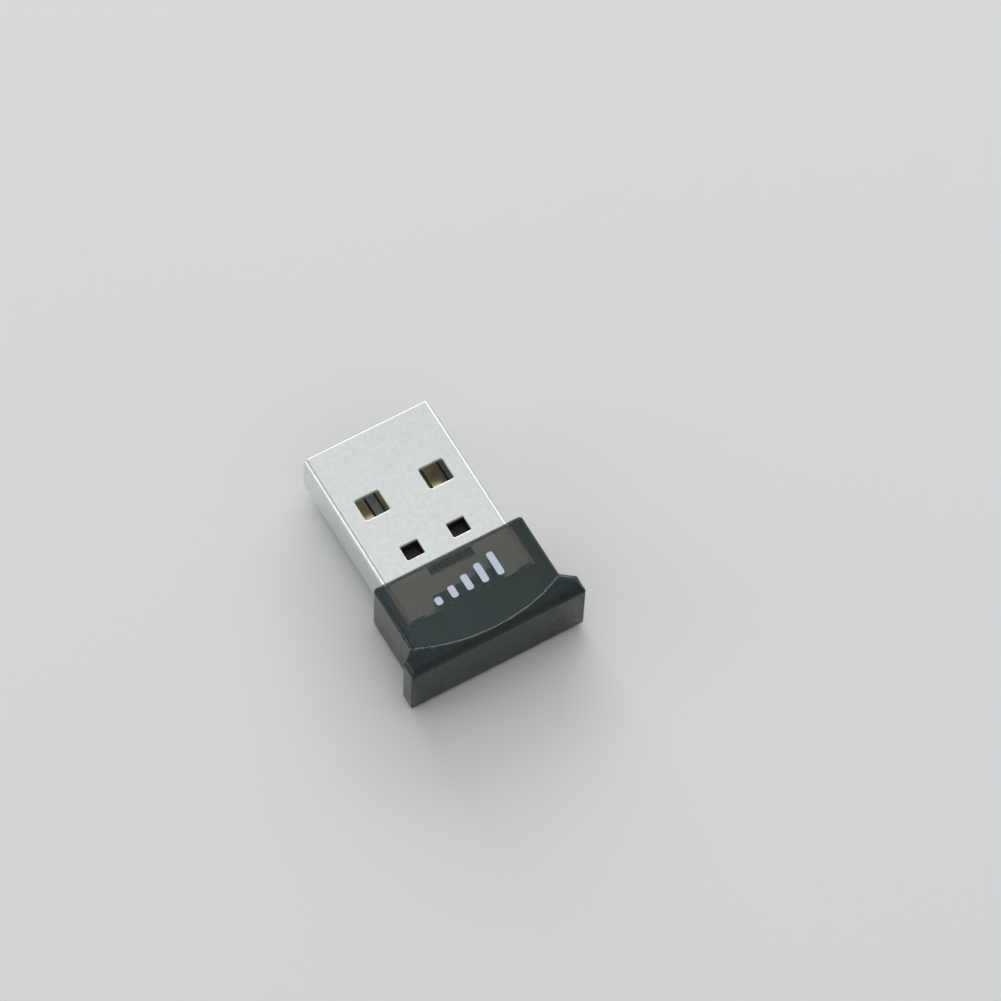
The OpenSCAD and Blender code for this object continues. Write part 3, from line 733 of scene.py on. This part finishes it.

# %% [markdown]
# Through the large windows the carrier's tongue looks a pale blue grey, and through the small ones
# the block at its back is nearly black, because it lies deep in shade. That shade is painted: one
# resin does both, with a painted black that grows with the distance from the mouth, where a Map
# Range node turns the place along the plug into the share of painted shade.

# %% Resin of the contact carrier, with painted shade at its back
# Painted shade: between these depths behind the mouth the resin's colour turns nearly black.
SHADE_FROM, SHADE_TO = 9.0, 10.0
SHADED_RESIN = (0.020, 0.019, 0.012, 1)
carrier = mottled("carrier_resin", (0.26, 0.32, 0.32), (0.31, 0.37, 0.37), 1.5, 0.45,
                  grain=0.004, grain_size=0.08)
tree = carrier.node_tree
base = tree.nodes["Principled BSDF"].inputs["Base Color"]
where = tree.nodes.new("ShaderNodeTexCoord")
parts = tree.nodes.new("ShaderNodeSeparateXYZ")
share = tree.nodes.new("ShaderNodeMapRange")
share.inputs["From Min"].default_value = place(0, SHADE_FROM, 0).y
share.inputs["From Max"].default_value = place(0, SHADE_TO, 0).y
painted_shade = tree.nodes.new("ShaderNodeMix")
painted_shade.data_type = "RGBA"
painted_shade.inputs["B"].default_value = SHADED_RESIN
tree.links.new(where.outputs["Object"], parts.inputs["Vector"])
tree.links.new(parts.outputs["Y"], share.inputs["Value"])
tree.links.new(share.outputs["Result"], painted_shade.inputs["Factor"])
tree.links.new(base.links[0].from_socket, painted_shade.inputs["A"])
tree.links.new(painted_shade.outputs["Result"], base)
print("tongue turns dark from", SHADE_FROM, "to", SHADE_TO, "mm")

# %% [markdown]
# The ink is matt and slightly blue. The contacts are plated with a pale gold that is smooth
# enough to mirror the rim of the window over them, so their near ends look bright and their far
# ends brown.

# %% Ink and contacts
white_ink = mottled("white_ink", (0.64, 0.73, 0.84), (0.58, 0.67, 0.79), 0.6, 0.5,
                    grain=0.003, grain_size=0.06)
gold = mottled("gold_plate", (0.90, 0.75, 0.47), (0.84, 0.68, 0.40), 0.8, 0.24, metallic=1.0,
               grain=0.003, grain_size=0.1, stretch=(1, 0.3, 1))
print("plated:", gold.name, "printed:", white_ink.name)

# %% [markdown]
# The board is a green laminate with bare gold lands, and its lacquer also covers the copper of
# the antenna, which only shows as a lighter line. Solder is the brightest and the least even
# metal.

# %% Board, lands and solder
laminate = mottled("green_laminate", (0.006, 0.25, 0.22), (0.010, 0.31, 0.27), 0.5, 0.35,
                   grain=0.006, grain_size=0.25)
land_gold = mottled("land_gold", (0.78, 0.56, 0.28), (0.68, 0.46, 0.22), 0.4, 0.35, metallic=1.0,
                    grain=0.002, grain_size=0.08)
resist = mottled("covered_copper", (0.05, 0.24, 0.12), (0.07, 0.28, 0.14), 0.4, 0.35,
                 grain=0.003, grain_size=0.2)
solder = mottled("bright_solder", (0.70, 0.71, 0.72), (0.60, 0.61, 0.63), 0.25, 0.28, metallic=1.0,
                 grain=0.006, grain_size=0.12)
print("on the board:", laminate.name, land_gold.name, resist.name, solder.name)

# %% [markdown]
# The small parts on the board are told apart by their finish more than by their shape: dull black
# chips, a brushed lid on the crystal, tan and black chips of ceramic with tinned ends, a dark
# ferrite block, and a lamp of clear resin on a white base.

# %% Small parts on the board
chip_black = mottled("chip_resin", (0.018, 0.018, 0.020), (0.030, 0.030, 0.032), 0.6, 0.6,
                     grain=0.005, grain_size=0.05)
tin = mottled("tinned_metal", (0.72, 0.72, 0.70), (0.62, 0.62, 0.61), 0.3, 0.32, metallic=1.0,
              grain=0.003, grain_size=0.05)
fired = mottled("fired_ceramic", (0.48, 0.42, 0.33), (0.54, 0.48, 0.38), 0.5, 0.6,
                grain=0.004, grain_size=0.05)
lid_nickel = mottled("lid_nickel", (0.74, 0.73, 0.70), (0.66, 0.66, 0.64), 0.6, 0.24,
                     metallic=1.0, grain=0.002, grain_size=0.08, stretch=(0.3, 1, 1))
white_base = mottled("white_laminate", (0.80, 0.79, 0.74), (0.74, 0.73, 0.68), 0.4, 0.5,
                     grain=0.003, grain_size=0.06)
lens = mottled("clear_resin", (0.62, 0.72, 0.80), (0.70, 0.78, 0.84), 0.4, 0.12,
               grain=0.001, grain_size=0.1, Transmission_Weight=0.6, IOR=1.5)
ferrite = mottled("dark_ferrite", (0.045, 0.042, 0.042), (0.075, 0.070, 0.068), 0.3, 0.7,
                  grain=0.006, grain_size=0.05)
tan_ceramic = mottled("tan_ceramic", (0.40, 0.28, 0.17), (0.46, 0.33, 0.21), 0.3, 0.5,
                      grain=0.003, grain_size=0.05)
glaze = mottled("black_glaze", (0.02, 0.02, 0.022), (0.035, 0.035, 0.038), 0.3, 0.25,
                grain=0.001, grain_size=0.1)
print("materials so far:", len(bpy.data.materials))

# %% [markdown]
# A CAD piece is left exactly as it is and only gets a new material in its slots. The two CAD
# nodes that the modelled pieces stand for get theirs as well, although they are hidden.

# %% Materials on the CAD pieces
node_looks = {
    carrier: ["contact_carrier"],
    gold: ["supply_contact", "data_minus_contact", "data_plus_contact", "ground_contact"],
    laminate: ["circuit_board"],
    land_gold: ["contact_lands"],
    resist: ["antenna_line"],
    chip_black: ["radio_chip", "memory_chip", "regulator_chip"],
    tin: ["radio_lands", "memory_legs", "regulator_legs",
          "choke_ends", "capacitor_ends", "resistor_ends"],
    fired: ["crystal_base"],
    lid_nickel: ["crystal_lid"],
    white_base: ["lamp_base"],
    lens: ["lamp_top"],
    ferrite: ["choke_body"],
    tan_ceramic: ["capacitor_bodies"],
    glaze: ["resistor_bodies"],
    solder: ["tail_solder", "shell_solder"],
    nickel: ["plug_shell"],
    smoke: ["cap"],
}
for look, names in node_looks.items():
    for name in names:
        for held in nodes[name].material_slots:
            held.material = look
print("nodes with a material:", sum(map(len, node_looks.values())))

# %% [markdown]
# Each new piece gets its material and rides on the one body of the part. The CAD nodes that the
# plug and the cap stand for are hidden.

# %% Give the new pieces their materials and bodies
for piece, look, slot_name, node in ((tube, nickel, "nickel_sheet", "plug_shell"),
                                     (body, smoke, "smoke_plastic", "cap"),
                                     (ink, white_ink, "lamp_base_plastic", None)):
    piece.data.materials.clear()
    piece.data.materials.append(look)
    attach(piece, "root")
    if node:
        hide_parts(node)
    print(piece.name, "is", look.name)

# %% [markdown]
# ## Floor and light
# The part lies on a plain pale floor of matt paper. Clear plastic and metal show what is round
# them, so a large and even floor is kinder to them than a small one with edges in sight.

# %% Floor
FLOOR_SIZE = 3
bpy.ops.object.select_all(action="DESELECT")
bpy.ops.mesh.primitive_plane_add(size=FLOOR_SIZE, location=(0, 0, 0))
floor = bpy.context.object
floor.name = "floor"
paper = mottled("floor_paper", (0.86, 0.86, 0.85), (0.88, 0.88, 0.87), 40, 0.8)
floor.data.materials.append(paper)
print("floor, m:", FLOOR_SIZE)

# %% [markdown]
# A pale sky gives the soft light of a small studio, and four white panels shape it. The one
# overhead lights all that faces up. Metal and clear plastic show a panel only where an edge
# happens to mirror it, so each of the other three stands where the camera sees it in one set of
# rounded edges: the far one in the mouth, the window rims and the arc, and the side ones in the
# two long folds.

# %% Lamps and sky
def lamp(name, at, width, height, power):
    """A white panel that faces the part. Sizes are in metres and power in watts."""
    bpy.ops.object.light_add(type="AREA", location=at)
    made = bpy.context.object
    made.name = name
    made.data.shape = "RECTANGLE"
    made.data.size = width
    made.data.size_y = height
    made.data.energy = power
    made.rotation_euler = Vector(at).to_track_quat("Z", "Y").to_euler()
    print(name, "strength:", round(power / (math.pi * width * height), 2))


lamp("overhead_lamp", (0.0, 0.15, 1.0), 0.6, 0.6, 1.0)
lamp("far_lamp", (0.36, 0.88, 0.40), 0.9, 0.6, 5.0)
lamp("left_lamp", (-0.85, 0.42, 0.32), 0.4, 0.4, 0.9)
lamp("right_lamp", (0.85, 0.42, 0.50), 0.4, 0.4, 0.9)
world = bpy.data.worlds.new("sky")
bpy.context.scene.world = world
world.use_nodes = True
sky = world.node_tree.nodes["Background"]
sky.inputs["Color"].default_value = (0.95, 0.97, 1.0, 1)
sky.inputs["Strength"].default_value = 0.46

# %% [markdown]
# The Standard view shows each colour as it is written, with no film look over it, so a material
# that looks right here also looks right elsewhere.

# %% Colours as they are
bpy.context.scene.view_settings.view_transform = "Standard"
print("view:", bpy.context.scene.view_settings.view_transform)
